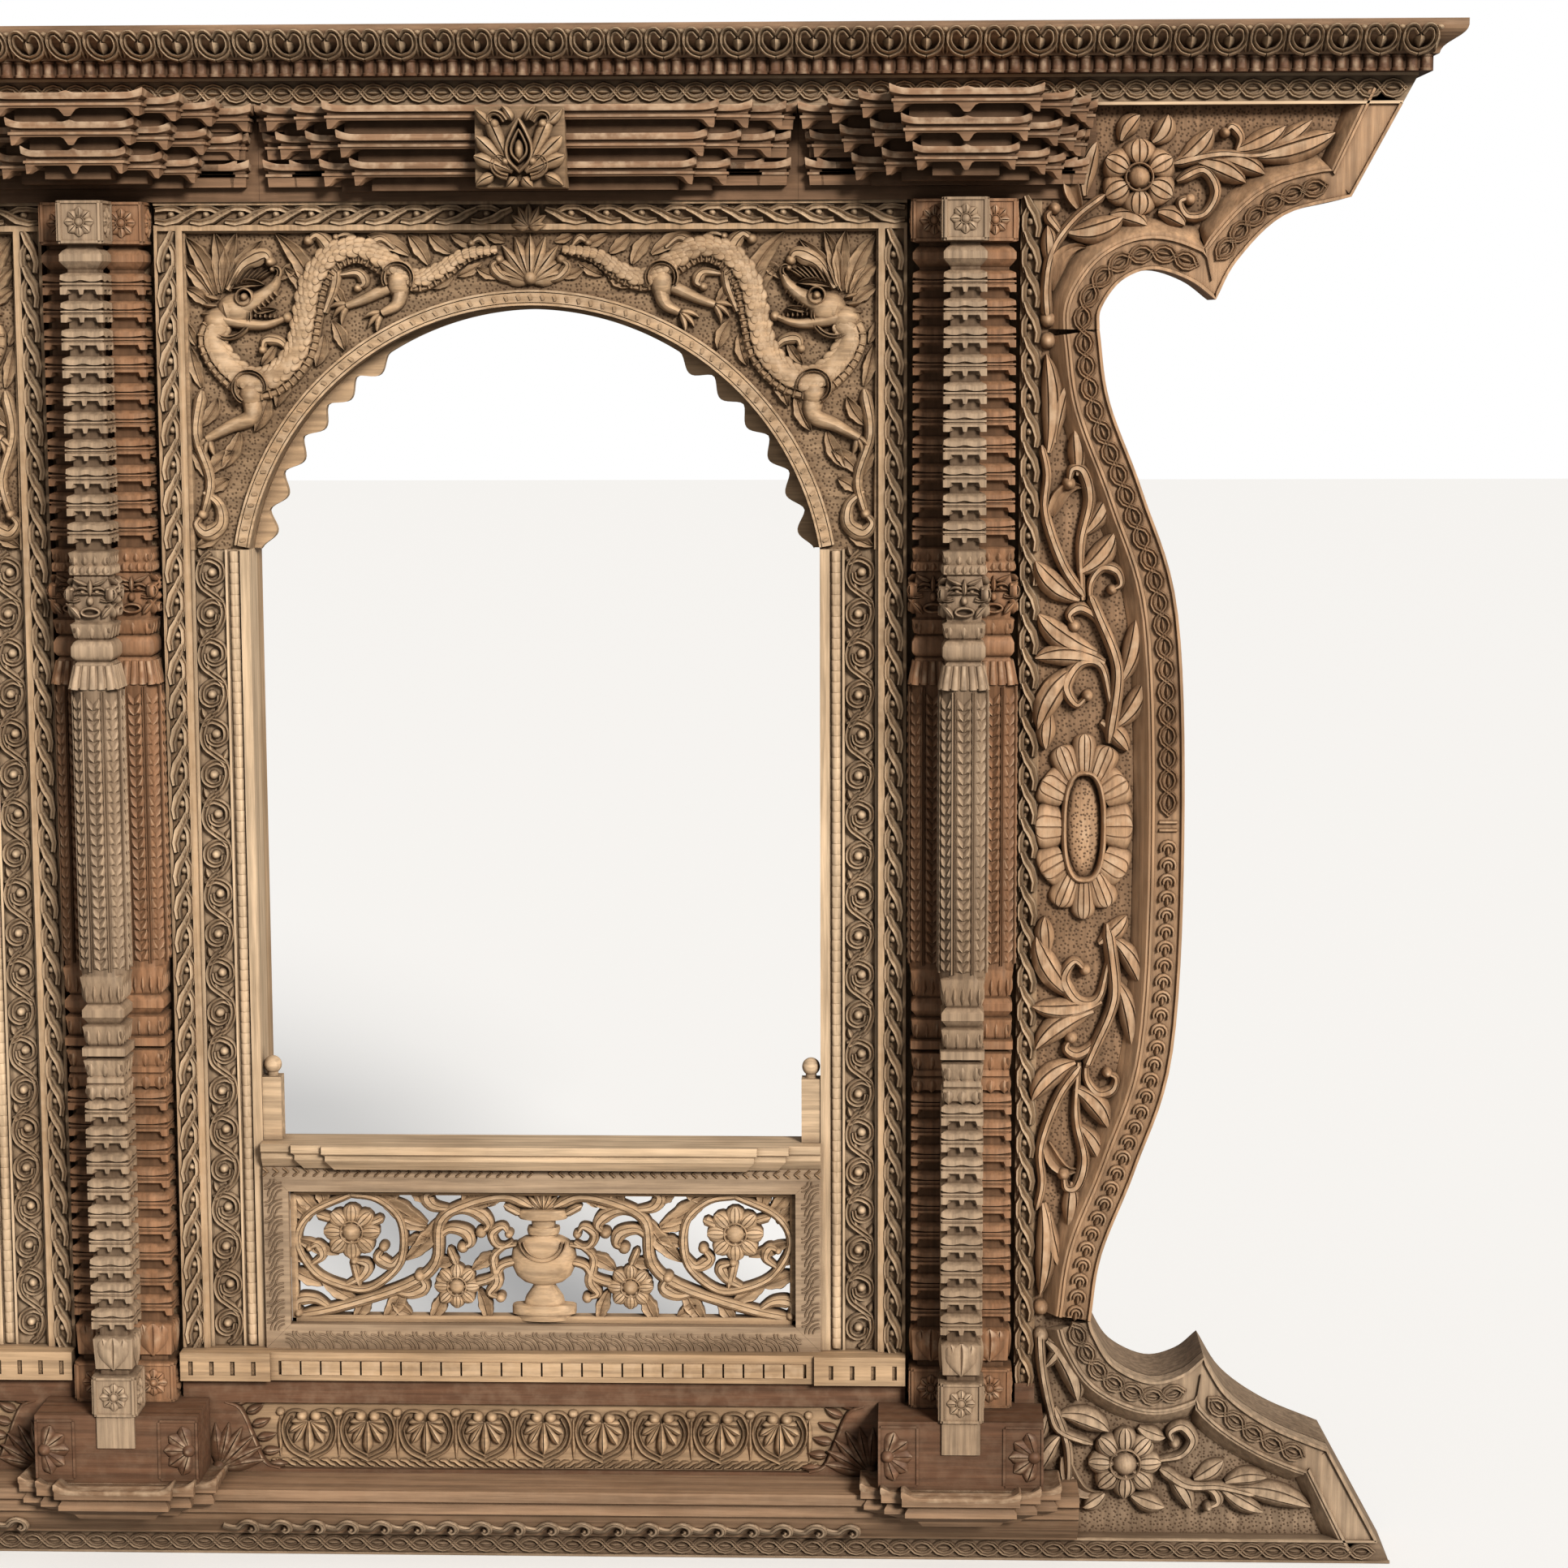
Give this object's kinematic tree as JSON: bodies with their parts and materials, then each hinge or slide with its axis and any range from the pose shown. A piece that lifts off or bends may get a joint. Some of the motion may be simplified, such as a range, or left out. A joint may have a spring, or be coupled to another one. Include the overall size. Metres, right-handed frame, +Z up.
{
  "type": "carved teak triple window",
  "caption": "Carved teak window frame with arched openings between clustered columns, pierced balustrades, stepped eaves, a carved crown and curved side wings, for a facade.",
  "frame": {"origin": "middle of the bottom edge, in the plane of the rope frames' faces", "axes": "+X along the facade to the right seen from the street, +Y from the street into the room, +Z up"},
  "size_m": [4.4018, 0.239, 1.93],
  "materials": {
    "dark_teak": "weathered, unfinished",
    "red_teak": "weathered, unfinished",
    "grey_teak": "weathered, unfinished",
    "warm_teak": "weathered, unfinished",
    "teak": "weathered, unfinished"
  },
  "bodies": {
    "root": {"lintel_beam": "dark_teak", "column_eave_1": "dark_teak", "column_eave_2": "dark_teak", "column_eave_3": "dark_teak", "column_eave_4": "dark_teak", "bay_eave_left": "dark_teak", "bay_eave_middle": "dark_teak", "bay_eave_right": "dark_teak", "base_block_1": "red_teak", "base_block_2": "red_teak", "base_block_3": "red_teak", "base_block_4": "red_teak", "flank_posts_1": "red_teak", "flank_posts_2": "red_teak", "flank_posts_3": "red_teak", "flank_posts_4": "red_teak", "bottom_fascia": "grey_teak", "sill_moulding": "grey_teak", "front_post_1": "grey_teak", "front_post_2": "grey_teak", "front_post_3": "grey_teak", "front_post_4": "grey_teak", "lower_wing_left": "grey_teak", "lower_wing_right": "grey_teak", "upper_wing_left": "warm_teak", "upper_wing_right": "warm_teak", "middle_wing_left": "warm_teak", "middle_wing_right": "warm_teak", "base_beam": "teak", "lintel_fascia": "teak", "bead_course": "teak", "crown_moulding": "teak", "mullion_1": "teak", "mullion_2": "teak", "mullion_3": "teak", "mullion_4": "teak", "rope_frame_left": "teak", "rope_frame_middle": "teak", "rope_frame_right": "teak", "inner_jambs_left": "teak", "inner_jambs_middle": "teak", "inner_jambs_right": "teak", "spandrel_left": "teak", "spandrel_middle": "teak", "spandrel_right": "teak", "cusped_arch_left": "teak", "cusped_arch_middle": "teak", "cusped_arch_right": "teak", "handrail_left": "teak", "handrail_middle": "teak", "handrail_right": "teak", "lattice_panel_left": "teak", "lattice_panel_middle": "teak", "lattice_panel_right": "teak", "panel_frame_left": "teak", "panel_frame_middle": "teak", "panel_frame_right": "teak", "dentil_sill_left": "teak", "dentil_sill_middle": "teak", "dentil_sill_right": "teak"}
  },
  "joints": []
}
